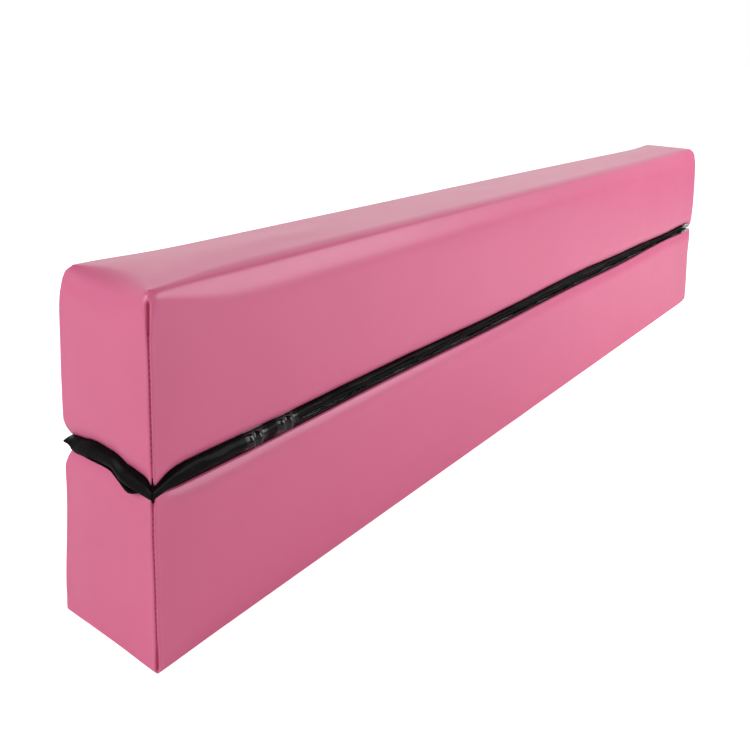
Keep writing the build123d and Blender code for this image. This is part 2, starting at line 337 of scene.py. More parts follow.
def cover_points(half, along, across, rings):
    """The cover's points: a ring of stations for each step up its side, then the top's own grid."""
    x, y, is_long, s = loop_round(along, across)
    hem, inset, radius, drop = cover_cut(half, x, y, is_long, s)
    rows = []
    for zone, value in rings:
        roll_top = hem + ROLL_HEIGHT
        if zone == "turned":
            out, height = -inset + value[0] * MM, hem + value[1] * MM
        elif zone == "roll":
            angle = ROLL_ANGLE * (1 - value)
            out = -inset * (1 - math.cos(angle)) / (1 - math.cos(ROLL_ANGLE))
            height = roll_top - ROLL_HEIGHT * math.sin(angle) / math.sin(ROLL_ANGLE)
        elif zone == "side":
            out, height = 0 * s, roll_top + value * (BLOCK_HEIGHT - drop - roll_top)
        else:
            reach, climb = edge_turn(is_long, s, value)
            out, height = -radius * reach, BLOCK_HEIGHT - drop * (1 - climb)
        leaning, aside = lean(half, height, x), at_corner(out, x, y, s)
        wide_x = 1 + (np.where(is_long, aside, out) + 0.7 * leaning) / HALF_LENGTH
        wide_y = 1 + (np.where(is_long, out, aside) + leaning) / HALF_WIDTH
        rows.append(np.stack([x * wide_x, y * wide_y, height], 1))
    return np.stack(rows), (x, y, is_long, s)


def top_grid(ring, nx, ny):
    """A grid across the loop of the last ring, spread evenly between its four sides."""
    near, end, far = ring[:nx + 1], ring[nx:nx + ny + 1], ring[nx + ny:2 * nx + ny + 1][::-1]
    free = np.concatenate([ring[2 * nx + ny:], ring[:1]])[::-1]
    u = ((near[:, 0] - near[0, 0]) / (near[-1, 0] - near[0, 0]))[:, None, None]
    v = ((free[:, 1] - free[0, 1]) / (free[-1, 1] - free[0, 1]))[None, :, None]
    grid = (1 - v) * near[:, None] + v * far[:, None] + (1 - u) * free[None] + u * end[None]
    grid -= (1 - u) * (1 - v) * near[0] + u * (1 - v) * near[-1] + (1 - u) * v * far[0] + u * v * far[-1]
    return grid


def quads_over(index):
    """The quads over a grid of point numbers."""
    around = (index[:-1, :-1], index[1:, :-1], index[1:, 1:], index[:-1, 1:])
    return np.stack(around, -1).reshape(-1, 4).tolist()


def cover_mesh(rows, along, across):
    """One list of points and the quads over them. The top grid's edge is the last ring itself."""
    count, size = rows.shape[:2]
    nx, ny = len(along) - 1, len(across) - 1
    grid = top_grid(rows[-1], nx, ny)
    points = np.concatenate([rows.reshape(-1, 3), grid[1:-1, 1:-1].reshape(-1, 3)])
    faces = []
    for j in range(count - 1):
        for i in range(size):
            k = (i + 1) % size
            faces.append((j * size + i, j * size + k, (j + 1) * size + k, (j + 1) * size + i))
    last = (count - 1) * size
    index = np.zeros((nx + 1, ny + 1), int)
    index[:, 0] = last + np.arange(nx + 1)
    index[nx, :] = last + nx + np.arange(ny + 1)
    index[:, ny] = last + 2 * nx + ny - np.arange(nx + 1)
    index[0, 1:] = last + 2 * nx + 2 * ny - np.arange(1, ny + 1)
    index[1:-1, 1:-1] = count * size + np.arange((nx - 1) * (ny - 1)).reshape(nx - 1, ny - 1)
    return points, faces + quads_over(index)


def swell(half):
    """Let a coarse copy of the cover swell as cloth, held at its hem and its corner seams.
    Gives the copy's points and how far each one moved: outwards only, as the foam backs it."""
    along, across = graded(2 * HALF_LENGTH, 0.010, 0.011, 1.2), graded(2 * HALF_WIDTH, 0.010, 0.010, 1.2)
    rings = [("roll", 0.0), ("roll", 0.5)] + [("side", value) for value in np.linspace(0, 1, 10)]
    rings += [("edge", value) for value in (0.33, 0.66, 1)]
    rows, (*_, s) = cover_points(half, along, across, rings)
    points, faces = cover_mesh(rows, along, across)
    cage = new_mesh("cage", points, faces)
    sewn = cage.vertex_groups.new(name="sewn")
    size = len(s)
    sewn.add(list(range(size)), 1.0, "REPLACE")
    seam = [j * size + i for j in range(len(rings) - 2) for i in range(size) if s[i] < 1e-6]
    sewn.add(seam, 1.0, "REPLACE")
    cloth = cage.modifiers.new("cloth", "CLOTH").settings
    cloth.quality = 6
    cloth.mass = 0.05
    cloth.tension_stiffness = cloth.compression_stiffness = 30
    cloth.bending_stiffness = 8
    cloth.use_pressure = True
    cloth.uniform_pressure_force = SWELL_PRESSURE
    cloth.effector_weights.gravity = 0
    cloth.vertex_group_mass = "sewn"
    cloth.shrink_min = -0.004
    for step in range(1, SWELL_STEPS + 1):
        bpy.context.scene.frame_set(step)
    settled = cage.evaluated_get(bpy.context.evaluated_depsgraph_get()).to_mesh()
    outward = np.array([v.normal for v in cage.data.vertices])
    rise = ((np.array([v.co for v in settled.vertices]) - points) * outward).sum(1, keepdims=True)
    bpy.context.scene.frame_set(1)
    bpy.data.objects.remove(cage)
    return points, outward * SWELL * np.tanh(np.maximum(rise, 0) / SWELL)


def carried(points, cage, moved):
    """The cage's moves at other points, averaged over the nearest of its own."""
    tree = kdtree.KDTree(len(cage))
    for n, point in enumerate(cage):
        tree.insert(point, n)
    tree.balance()
    out = np.zeros_like(points)
    for n, point in enumerate(points):
        near = tree.find_n(point, 14)
        weights = np.array([math.exp(-((d / SWELL_SPREAD) ** 2)) + 1e-9 for _, _, d in near])
        out[n] = (moved[[k for _, k, _ in near]] * weights[:, None]).sum(0) / weights.sum()
    return out


def seam_cut(rows, ring_places, half):
    """Round the upright corners, and draw in the seam that runs down each between two lips."""
    x, y, is_long, s = ring_places
    side_x, side_y = np.sign(x), np.sign(y)
    height = rows[:, :, 2]
    below_top = BLOCK_HEIGHT - height
    bend = np.where(x > 0, FAR_CORNER_RADIUS, CORNER_RADIUS)
    if half == "upper":
        bend = bend + 5 * MM * ease((24 * MM - below_top) / (16 * MM))
    bend = np.maximum(bend * (1 - ease((1.0 * MM - below_top) / (0.9 * MM))), 1e-6)
    turn = math.pi / 4 * (1 + np.minimum(s / bend, 1))
    inward = np.where(s < bend, bend * (1 - np.sin(turn)), 0)
    forward = np.where(s < bend, bend * (1 - np.cos(turn)) - s, 0)
    step_x = np.where(is_long, forward, inward)
    step_y = np.where(is_long, inward, forward)
    if half == "upper":
        slit = ease((34 * MM - below_top) / (12 * MM))
        sewn = 1 - ease((8.8 * MM - below_top) / (3.5 * MM))
    else:
        slit = ease((26 * MM - below_top) / (16 * MM))
        slit = np.maximum(slit, 0.9 * ease((16 * MM - height) / (6 * MM)))
        sewn = 1 - ease((3.5 * MM - below_top) / (3.0 * MM))
    groove = (1.5 + 1.7 * slit) * MM * sewn * bell(s, (0.55 + 0.60 * slit) * MM)
    lip = sewn * np.where(is_long, 0.45, 0.2) * MM * bell(s - 2.3 * MM, 1.2 * MM)
    rows = rows.copy()
    rows[:, :, 0] -= side_x * (step_x + 0.7 * groove - ~is_long * lip)
    rows[:, :, 1] -= side_y * (step_y + 0.7 * groove - is_long * lip)
    return rows


def leathercloth():
    """Pink satin leathercloth: a fine grain, a soft sheen, and a little unevenness of both."""
    finish = Finish(bpy.data.materials.new("cover_satin"), Coat_Roughness=0.28, Coat_Weight=0.20)
    place = finish.place()
    cloudy = finish.noise(place, 7.0, 3.0)
    colour = finish.mix(cloudy, (0.745, 0.142, 0.285, 1), (0.80, 0.165, 0.322, 1))
    grain = finish.noise(place, 1500.0, 1.0) * 0.5 + finish.cells(place, 800.0) * 0.5
    fine = finish.bump(grain, 0.00003)
    soft = finish.bump(finish.noise(place, 14.0, 2.0), 0.0012, fine)
    return finish.feed(Base_Color=colour, Roughness=0.36 + 0.06 * finish.noise(place, 60.0), Normal=soft)


satin = leathercloth()
COVER_RINGS = [("turned", value) for value in TURNED_EDGE]
COVER_RINGS += [("roll", value) for value in np.linspace(0, 1, 9)]
side_steps = graded(1.0, 0.016, 0.065, 1.3) + 0.5
COVER_RINGS += [("side", value) for value in side_steps[1:]]
COVER_RINGS += [("edge", value) for value in np.linspace(0, 1, 23)[1:]]


def thicken(piece, wall, offset):
    """Give a sheet its thickness: half to each side of its points at 0, all inwards at -1."""
    layer = piece.modifiers.new("thickness", "SOLIDIFY")
    layer.thickness, layer.offset = wall, offset
    return layer


def make_cover(half):
    """One cover, from its turned-in hem to its walking face, with its cloth's thickness."""
    along, across = graded(2 * HALF_LENGTH, 0.0004, 0.010, 1.35), graded(2 * HALF_WIDTH, 0.0004, 0.007, 1.35)
    rows, places = cover_points(half, along, across, COVER_RINGS)
    plain = cover_mesh(rows, along, across)[0]
    points, faces = cover_mesh(seam_cut(rows, places, half), along, across)
    points = points + carried(plain, *swell(half))
    if half == "lower":
        points[:, 2] = np.minimum(points[:, 2], BLOCK_HEIGHT)
        faces = [face[::-1] for face in faces]
        points[:, 2] = -points[:, 2]
    points[:, 2] += fold_height
    piece = new_mesh(f"{half}_satin_cover", points, faces, satin)
    thicken(piece, CLOTH, -1)
    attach(piece, f"{half}_half")
    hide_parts(f"{half}_cover")


make_cover("upper")
make_cover("lower")

# ---- the foam ----
# Three planks of white polyethylene foam, welded at two joints. The top plank is rounded to the
# cover's own form, which it fills; the other two are plain, and the lowest leaves room for the zip.
FOAM_SLACK = 0.4 * MM


def cellular_foam():
    """White closed-cell foam: cut bubbles of a millimetre or two, each hollow painted darker than the cell
    walls round it as painted shade.
    """
    finish = Finish(bpy.data.materials.new("foam"), Roughness=0.85)
    walls = finish.ramp(finish.cells(finish.place(), 620.0, "DISTANCE_TO_EDGE"), 0.0, 0.12)
    # The hollow of each cut bubble is painted darker than its walls: painted shade in the recess.
    colour = finish.mix(walls, (0.86, 0.86, 0.84, 1), (0.70, 0.71, 0.70, 1))
    return finish.feed(Base_Color=colour, Normal=finish.bump(1 - walls, 0.0004))


foam = cellular_foam()
PLANKS = ("base", "middle", "crown")
PLANK_JOINTS = [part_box(f"upper_foam_{plank}_layer")[0].z - fold_height for plank in PLANKS]
LEDGE_INSET, LEDGE_TOP, LEDGE_EASE = 9.8 * MM, 15 * MM, 17 * MM  # cut back below for the zip
PLANK_CORNER, CROWN_BEND = 4.2 * MM, 30 * MM


def plank_edge(is_long, s, above):
    """The share of the edge's reach that a plank is cut in, at a share of the edge's drop."""
    soft, creased = (np.interp(above, edge[1], edge[0]) for edge in (SOFT_EDGE, CREASED_EDGE))
    return soft + (creased - soft) * np.where(is_long, 1 - bell(s, 0.03), 0)


def make_plank(half, plank):
    """One plank: the cover's form drawn in by its cloth, from one joint to the next."""
    along, across = graded(2 * HALF_LENGTH, 0.001, 0.020, 1.6), graded(2 * HALF_WIDTH, 0.001, 0.010, 1.6)
    x, y, is_long, s = loop_round(along, across)
    radius, drop = cover_cut(half, x, y, is_long, s)[2:]
    order = PLANKS.index(plank)
    bottom = PLANK_JOINTS[order]
    top = [*PLANK_JOINTS, BLOCK_HEIGHT - CLOTH - FOAM_SLACK][order + 1]
    levels = [bottom, LEDGE_TOP, LEDGE_TOP + LEDGE_EASE, top] if plank == "base" else [bottom, top]
    if plank == "crown":
        levels = [bottom, *(top - CROWN_BEND * (1 - np.sin(np.radians(np.linspace(0, 90, 12)))))]
    rows = []
    for level in levels:
        above = np.clip((level - (top - drop)) / drop, 0, 1) if plank == "crown" else 0 * s
        inset = CLOTH + FOAM_SLACK + radius * plank_edge(is_long, s, above)
        if plank == "base":
            inset = inset + (LEDGE_INSET - inset) * (1 - ease((level - LEDGE_TOP) / LEDGE_EASE))
        cut, out = PLANK_CORNER * bell(s, PLANK_CORNER), lean(half, np.float64(level), x)
        aside = at_corner(inset, x, y, s) + cut
        wide_x = 1 + (0.7 * out - np.where(is_long, aside, inset + cut)) / HALF_LENGTH
        wide_y = 1 + (out - np.where(is_long, inset + cut, aside)) / HALF_WIDTH
        rows.append(np.stack([x * wide_x, y * wide_y, 0 * s + level], 1))
    points, faces = cover_mesh(np.stack(rows), along, across)
    faces.append(tuple(range(len(x)))[::-1])
    if half == "lower":
        points[:, 2] *= -1
        faces = [face[::-1] for face in faces]
    points[:, 2] += fold_height
    piece = new_mesh(f"{half}_{plank}_plank", points, faces, foam)
    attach(piece, f"{half}_half")
    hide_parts(f"{half}_foam_{plank}_layer")


for half in UPWARDS:
    for plank in PLANKS:
        make_plank(half, plank)

# ---- the stitches ----
# Bonded thread closes each corner seam from behind. Only its short bites show, in the groove
# between the two lips, one every few millimetres.
STITCH_PITCH = 4.2 * MM
STITCH_REACH, THREAD = 1.1 * MM, 0.32 * MM


def repeat_tree(name):
    """Geometry nodes that set a small shape along a path, turned with it, at an even pitch."""
    tree = bpy.data.node_groups.new(name, "GeometryNodeTree")
    inputs = {"Path": "Geometry", "Pitch": "Float", "Shape": "Object", "Finish": "Material"}
    for socket, kind in inputs.items():
        tree.interface.new_socket(socket, in_out="INPUT", socket_type="NodeSocket" + kind)
    tree.interface.new_socket("Row", in_out="OUTPUT", socket_type="NodeSocketGeometry")
    kinds = ("NodeGroupInput", "GeometryNodeMeshToCurve", "GeometryNodeCurveToPoints",
             "FunctionNodeAlignRotationToVector", "GeometryNodeObjectInfo", "GeometryNodeInstanceOnPoints",
             "GeometryNodeRealizeInstances", "GeometryNodeSetMaterial", "NodeGroupOutput")
    given, curve, marks, turned, shape, placed, real, finished, result = map(tree.nodes.new, kinds)
    marks.mode, turned.axis = "LENGTH", "X"
    for source, target in (
        (given.outputs["Path"], curve.inputs[0]),
        (curve.outputs[0], marks.inputs["Curve"]),
        (given.outputs["Pitch"], marks.inputs["Length"]),
        (marks.outputs["Tangent"], turned.inputs["Vector"]),
        (given.outputs["Shape"], shape.inputs["Object"]),
        (marks.outputs["Points"], placed.inputs["Points"]),
        (shape.outputs["Geometry"], placed.inputs["Instance"]),
        (turned.outputs[0], placed.inputs["Rotation"]),
        (placed.outputs[0], real.inputs[0]),
        (real.outputs[0], finished.inputs["Geometry"]),
        (given.outputs["Finish"], finished.inputs["Material"]),
        (finished.outputs[0], result.inputs[0]),
    ):
        tree.links.new(source, target)
    return tree


repeat = repeat_tree("repeat along a path")


def row_of(name, paths, shape, pitch, material):
    """A plain mesh of one small shape, repeated along each of some paths."""
    points = [point for path in paths for point in path]
    edges, start = [], 0
    for path in paths:
        edges += [(start + n, start + n + 1) for n in range(len(path) - 1)]
        start += len(path)
    mesh = bpy.data.meshes.new(name)
    mesh.from_pydata([tuple(point) for point in points], edges, [])
    guide = link(name + "_guide", mesh)
    maker = guide.modifiers.new("row", "NODES")
    maker.node_group = repeat
    values = {"Pitch": pitch, "Shape": shape, "Finish": material}
    for item in repeat.interface.items_tree:
        if item.name in values:
            maker[item.identifier] = values[item.name]
    made = bpy.data.meshes.new_from_object(guide.evaluated_get(bpy.context.evaluated_depsgraph_get()))
    bpy.data.objects.remove(guide)
    bpy.data.objects.remove(shape)
    made.shade_smooth()
    made.name = name
    return link(name, made)


def tube(line, radius, sides, closed=False):
    """Points and faces of a thin round tube along a list of points, with its ends closed."""
    line = [Vector(point) for point in line]
    count, points, faces = len(line), [], []
    for n, point in enumerate(line):
        before = line[n - 1] if n or closed else point
        after = line[(n + 1) % count] if n < count - 1 or closed else point
        ahead = (after - before).normalized()
        aside = ahead.orthogonal() if abs(ahead.y) > 0.99 else ahead.cross(Vector((0, 1, 0)))
        aside.normalize()
        beyond = ahead.cross(aside)
        for k in range(sides):
            turn = 2 * math.pi * k / sides
            points.append(point + radius * (math.cos(turn) * aside + math.sin(turn) * beyond))
    for n in range(count if closed else count - 1):
        for k in range(sides):
            a, b, c = n * sides + k, n * sides + (k + 1) % sides, (n + 1) % count * sides
            faces.append((a, b, c + (k + 1) % sides, c + k))
    if not closed:
        faces += [tuple(range(sides))[::-1], tuple((count - 1) * sides + k for k in range(sides))]
    return points, faces


def spun_thread():
    """Pink bonded thread: two plies, which show as a slanted rib, painted darker in the groove between the
    plies as painted shade.
    """
    finish = Finish(bpy.data.materials.new("seam_thread"), Roughness=0.55)
    place = finish.place()
    ply = finish.node("ShaderNodeTexWave", {"bands_direction": "DIAGONAL"}, {"Vector": place, "Scale": 900.0})
    # Darker where the rib is low: painted shade in the groove between the plies.
    colour = finish.mix(ply, (0.34, 0.030, 0.075, 1), (0.52, 0.060, 0.135, 1))
    return finish.feed(Base_Color=colour, Normal=finish.bump(ply, 0.0001))


thread = spun_thread()
THREAD_HEIGHTS = (20 * MM, BLOCK_HEIGHT - 27 * MM)


def make_corner_stitches(half):
    """The bites of thread in a cover's four corner seams."""
    sign = UPWARDS[half]
    bow = ((0, -1), (0.12, -0.5), (0.2, 0), (0.12, 0.5), (0, 1))
    bite = [(0, out * MM, share * STITCH_REACH) for out, share in bow]
    pieces = []
    for corner_x in (-1, 1):
        for corner_y in (-1, 1):
            path = []
            for height in np.linspace(*THREAD_HEIGHTS, 12):
                out = lean(half, height, corner_x * HALF_LENGTH)
                bend = FAR_CORNER_RADIUS if corner_x > 0 else CORNER_RADIUS
                inset = bend * (1 - math.sqrt(0.5)) + 0.45 * MM
                x, y = HALF_LENGTH + 0.7 * out - inset, HALF_WIDTH + out - inset
                path.append((corner_x * x, corner_y * y, fold_height + sign * height))
            slant = Matrix.Rotation(corner_x * corner_y * math.pi / 4, 3, "X")
            shape = new_mesh("bite", *tube([slant @ Vector(point) for point in bite], THREAD, 6))
            pieces.append(row_of(f"stitches_{len(pieces)}", [path], shape, STITCH_PITCH, thread))
    with bpy.context.temp_override(active_object=pieces[0], selected_editable_objects=pieces):
        bpy.ops.object.join()
    stitches = pieces[0]
    stitches.name = f"{half}_corner_stitches"
    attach(stitches, f"{half}_half")
    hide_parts(f"{half}_corner_seam_thread")


make_corner_stitches("upper")
make_corner_stitches("lower")

# ---- the zip ----
# A nylon coil zip runs round three sides of each block: two rows of coil, each sewn to a woven
# tape. One tape is sewn inside the cover's hem, the other along the base sheet's edge.
COIL_PITCH, FILAMENT = 1.6 * MM, 0.28 * MM
COIL_DEPTH, COIL_TURN = 2.1 * MM, 5.8 * MM
FAR_COIL_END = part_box("upper_base_sheet")[1].x - 14 * MM


def nylon():
    """Black nylon monofilament, smooth and a little translucent at its edges."""
    finish = Finish(bpy.data.materials.new("zip_coil"), Base_Color=(0.003, 0.003, 0.0035, 1),
                    Specular_IOR_Level=0.08)
    return finish.feed(Roughness=0.30 + 0.12 * finish.noise(finish.place(), 400.0))


def woven_tape():
    """Black polyester tape in a herringbone weave, its raised threads painted lighter than the hollows
    between them as painted shade.
    """
    finish = Finish(bpy.data.materials.new("zip_tape"), Specular_IOR_Level=0.08)
    place = finish.place()
    warp = finish.node("ShaderNodeTexWave", {"bands_direction": "X"}, {"Vector": place, "Scale": 380.0})
    weft = finish.node("ShaderNodeTexWave", {"bands_direction": "Z"}, {"Vector": place, "Scale": 460.0})
    weave = warp * weft
    # Lighter where the weave stands high and darker between the threads: painted shade.
    colour = finish.mix(weave, (0.002, 0.002, 0.0023, 1), (0.006, 0.0055, 0.006, 1))
    return finish.feed(Base_Color=colour, Roughness=0.85 - 0.15 * weave, Normal=finish.bump(weave, 0.00012))


coil_nylon, tape_cloth = nylon(), woven_tape()


def bend_round(low, high, ends, radius):
    """A level path down one side, round the free end and back up the other, in plan."""
    left, near, far = low.x, low.y, high.y
    path = [(x, near) for x in np.arange(ends[0], left + radius, -0.02)]
    for middle_y, start in ((near + radius, -90), (far - radius, -180)):
        for turn in np.linspace(start, start - 90, 7):
            angle = math.radians(turn)
            path.append((left + radius + radius * math.cos(angle), middle_y + radius * math.sin(angle)))
    return path + [(x, far) for x in np.arange(left + radius, ends[1], 0.02)] + [(ends[1], far)]


def make_coil(name):
    """One row of the zip's coil: a filament bent into a loop for each tooth."""
    low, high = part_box(name)
    z, tall = (low.z + high.z) / 2, high.z - low.z
    inside = Vector((COIL_DEPTH / 2, COIL_DEPTH / 2, 0))
    path = bend_round(low + inside, high - inside, (high.x, FAR_COIL_END), COIL_TURN - COIL_DEPTH / 2)
    loop = []
    for turn in np.linspace(0, 2 * math.pi, 9)[:-1]:
        y = (COIL_DEPTH / 2 - FILAMENT) * math.cos(turn)
        head = 0.14 * MM * (1 + math.cos(2 * turn))
        loop.append((0.28 * MM * math.sin(turn / 2), y, (tall / 2 - FILAMENT + head) * math.sin(turn)))
    tooth = new_mesh("tooth", *tube(loop, FILAMENT, 4, closed=True))
    row = row_of(f"{name}_teeth", [[(x, y, z) for x, y in path]], tooth, COIL_PITCH, coil_nylon)
    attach(row, f"{name.split('_')[0]}_half")
    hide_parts(name)


def finish_node(name, material):
    """Give a part of the frame its finish."""
    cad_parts[name].data.materials.clear()
    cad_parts[name].data.materials.append(material)


for half in UPWARDS:
    for side in ("base", "cover"):
        make_coil(f"{half}_zip_{side}_coil")
        finish_node(f"{half}_zip_{side}_tape", tape_cloth)

# ---- the sliders, pulls and stops ----
# Die-cast and bright-plated: a slider's two plates are joined by a web at its front, its bridge
# holds the pull's end bar, and small crimped clips stop it at the coil's ends.


def plated_metal():
    """Bright nickel plate, with fine handling scratches and duller hollows."""
    finish = Finish(bpy.data.materials.new("zip_metal"), Metallic=1.0)
    place = finish.place()
    rubbed = finish.noise(place, 90.0, 4.0)
    colour = finish.mix(rubbed, (0.60, 0.59, 0.57, 1), (0.78, 0.77, 0.75, 1))
    scratched = finish.bump(finish.noise(place, 2600.0, 1.0), 0.00002)
    return finish.feed(Base_Color=colour, Roughness=0.18 + 0.22 * rubbed, Normal=scratched)


metal = plated_metal()
PLATE, RIM, BRIDGE_WIRE = 1.0 * MM, 0.45 * MM, 0.55 * MM


def slab(outline, front, back):
    """Points and faces of a plate: an outline in the XZ plane between two places across."""
    count = len(outline)
    points = [(x, front, z) for x, z in outline] + [(x, back, z) for x, z in outline]
    faces = [tuple(range(count)), tuple(range(2 * count - 1, count - 1, -1))]
    faces += [(n, n + count, (n + 1) % count + count, (n + 1) % count) for n in range(count)]
    return points, faces


def framed_slab(outer, inner, front, back):
    """A plate with an opening: two outlines with as many points each."""
    count = len(outer)
    points = [(x, y, z) for y in (front, back) for ring in (outer, inner) for x, z in ring]
    faces = []
    for n in range(count):
        k = (n + 1) % count
        faces.append((n, k, k + count, n + count))
        faces.append((n + 3 * count, k + 3 * count, k + 2 * count, n + 2 * count))
        faces.append((n + 2 * count, k + 2 * count, k, n))
        faces.append((n + count, k + count, k + 3 * count, n + 3 * count))
    return points, faces


def joined(shapes):
    """Several lists of points and faces as one."""
    points, faces = [], []
    for some, over in shapes:
        faces += [tuple(len(points) + n for n in face) for face in over]
        points += list(some)
    return points, faces


def bevelled(piece, width):
    """Round a piece's sharp edges."""
    edge = piece.modifiers.new("edges", "BEVEL")
    edge.width, edge.segments, edge.limit_method = width, 2, "ANGLE"
    edge.harden_normals = True
    return piece


def make_slider(half):
    """The slider, shaped from its place in the frame: shield plates, folded rims and a bridge."""
    low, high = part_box(f"{half}_zip_slider")
    mid_x, mid_z = (low.x + high.x) / 2, (low.z + high.z) / 2
    half_long, half_tall = 5.5 * MM, (high.z - low.z) / 2
    front_y, back_y = high.y - 5 * MM, high.y
    shield = []
    for turn in np.linspace(0, 2 * math.pi, 37)[:-1]:
        c, s = math.cos(turn), math.sin(turn)
        wide = 1 - 0.28 * ease(np.float64(0.5 - c * 0.6))
        x = half_long * math.copysign(abs(c) ** 0.45, c)
        z = half_tall * math.copysign(abs(s) ** 0.45, s) * wide
        shield.append((mid_x + x, mid_z + z))
    shapes = [slab(shield, front_y, front_y + PLATE), slab(shield[::-1], back_y, back_y - PLATE)]
    for sign in (-1, 1):
        rim = [(x, z) for x, z in shield if (z - mid_z) * sign > 0.55 * half_tall]
        rim.sort()
        inner = [(x, z - sign * RIM) for x, z in rim[::-1]]
        outline = rim + inner if sign < 0 else inner[::-1] + rim[::-1]
        shapes.append(slab(outline, front_y + 0.9 * MM, front_y + 1.6 * MM))
    diamond = ((-3.4, 0), (-1.2, -0.9), (-0.3, 0), (-1.2, 0.9))
    web = [(mid_x + half_long + x * MM, mid_z + z * MM) for x, z in diamond]
    shapes.append(slab(web, front_y + 0.5 * MM, back_y - 0.5 * MM))
    arch = ((-3.3, 0.4), (-3.2, -1.2), (-2.4, -2.4), (-0.9, -2.8),
            (1.5, -2.8), (2.8, -2.2), (3.3, -0.9), (3.3, 0.4))
    shapes.append(tube([(mid_x + x * MM, front_y + y * MM, mid_z) for x, y in arch], BRIDGE_WIRE, 10))
    piece = bevelled(new_mesh(f"{half}_slider", *joined(shapes), metal), 0.15 * MM)
    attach(piece, f"{half}_slider")
    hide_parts(f"{half}_zip_slider")


def make_pull(half):
    """The pull: a tapered tab with a window over the bridge, grip ribs and a round end bar."""
    low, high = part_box(f"{half}_zip_pull")
    mid_z, tall = (low.z + high.z) / 2, (high.z - low.z) / 2
    front, back = low.y, high.y
    pivot_x = low.x + 0.5 * MM
    reach = high.x - pivot_x
    count = 40
    outer, inner = [], []
    for n in range(count):
        turn = 2 * math.pi * (n + 0.5) / count
        c, s = math.cos(turn), math.sin(turn)
        along = reach / 2 * (1 + math.copysign(abs(c) ** 0.35, c))
        narrow = 1 - 0.22 * math.sin(math.pi * along / reach)
        outer.append((pivot_x + along, mid_z + tall * narrow * math.copysign(abs(s) ** 0.35, s)))
        inner.append((pivot_x + 2.6 * MM + 1.9 * MM * math.copysign(abs(c) ** 0.4, c),
                      mid_z + 1.1 * MM * math.copysign(abs(s) ** 0.4, s)))
    shapes = [framed_slab(outer, inner, front + 0.2 * MM, back - 0.2 * MM)]
    for n in range(5):
        x = pivot_x + reach * (0.62 + 0.055 * n)
        below, over = mid_z - tall * 0.55, mid_z + tall * 0.55
        rib = [(x, below), (x + 0.8 * MM, below), (x + 0.8 * MM, over), (x, over)]
        shapes.append(slab(rib, front, back))
    bar = [(pivot_x, (front + back) / 2, z) for z in (low.z + 0.1 * MM, high.z - 0.1 * MM)]
    shapes.append(tube(bar, 0.5 * MM, 12))
    piece = bevelled(new_mesh(f"{half}_pull", *joined(shapes), metal), 0.12 * MM)
    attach(piece, f"{half}_pull")
    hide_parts(f"{half}_zip_pull")


for half in UPWARDS:
    make_slider(half)
    make_pull(half)
    finish_node(f"{half}_zip_stops", metal)

# ---- the flaps ----
# A strip of glossy black vinyl covers each zip, sewn into the hem above it and mitred to a sharp
# point at the free end's corners. It was cut flat, so it waves and buckles where it hangs.
FLAP_CLOTH = 0.7 * MM
FLAP_SLIDER_END, FLAP_FAR_END = 42 * MM, 6 * MM  # from the strip's ends to the fold
PLEATED, PLEAT_BUNCHES, PLEAT = (-0.500, -0.425), (-0.4795, -0.4460), 8.4 * MM
# The mitred points at the near and the far corner: out at the end, out at the side, and down.
TIPS = {"upper": ((2.8, 2.8, -3.2), (1.8, -4.4, 5.0)), "lower": ((-0.6, -0.6, 2.4), (-2.4, -6.5, 1.4))}
TIP_REACH = {"upper": 8 * MM, "lower": 6 * MM}


def glossy_vinyl():
    """Black vinyl with a soft gloss and a fine pressed grain, rubbed shiny where it is pinched."""
    finish = Finish(bpy.data.materials.new("flap_vinyl"), Specular_IOR_Level=0.06, Coat_Roughness=0.13)
    place = finish.place()
    cloudy = finish.noise(place, 40.0, 3.0)
    colour = finish.mix(cloudy, (0.0025, 0.0018, 0.0021, 1), (0.005, 0.0035, 0.0042, 1))
    grain = finish.bump(finish.cells(place, 900.0), 0.00003)
    crumple = finish.bump(finish.noise(place, 130.0, 2.0), 0.0007, grain)
    along = finish.part(place, "X")
    pinched = 0
    for middle in PLEAT_BUNCHES:
        pinched = pinched + finish.ramp(along.math("ABSOLUTE", along - middle), 0.012, 0.006)
    return finish.feed(Base_Color=colour, Roughness=0.34 + 0.14 * cloudy, Coat_Weight=0.03 + 0.95 * pinched,
                       Normal=crumple)


flap_vinyl = glossy_vinyl()


def flap_line():
    """Stations round the three sides: their places, sides and distances to a corner."""
    fine = graded(2 * HALF_LENGTH, 0.0012, 0.0045, 1.3)
    near = fine[(fine < HALF_LENGTH - FLAP_SLIDER_END) & ((fine < PLEATED[0]) | (fine > PLEATED[1]))]
    near = np.sort(np.concatenate([near, np.arange(*PLEATED, 0.0006)]))[::-1]
    far = fine[fine < HALF_LENGTH - FLAP_FAR_END]
    end = graded(2 * HALF_WIDTH, 0.0012, 0.0035, 1.3)
    x = np.concatenate([near, 0 * end[1:-1] - HALF_LENGTH, far])
    y = np.concatenate([0 * near - HALF_WIDTH, end[1:-1], 0 * far + HALF_WIDTH])
    on_end = np.repeat([False, True, False], [len(near), len(end) - 2, len(far)])
    to_corner = np.where(on_end, HALF_WIDTH - np.abs(y), np.abs(x + HALF_LENGTH))
    return x, y, on_end, to_corner


def tips(half, y):
    """The mitred point nearest to each station: out at the end, out at the side, and down."""
    return [np.where(y < 0, near, far) for near, far in zip(*TIPS[half])]


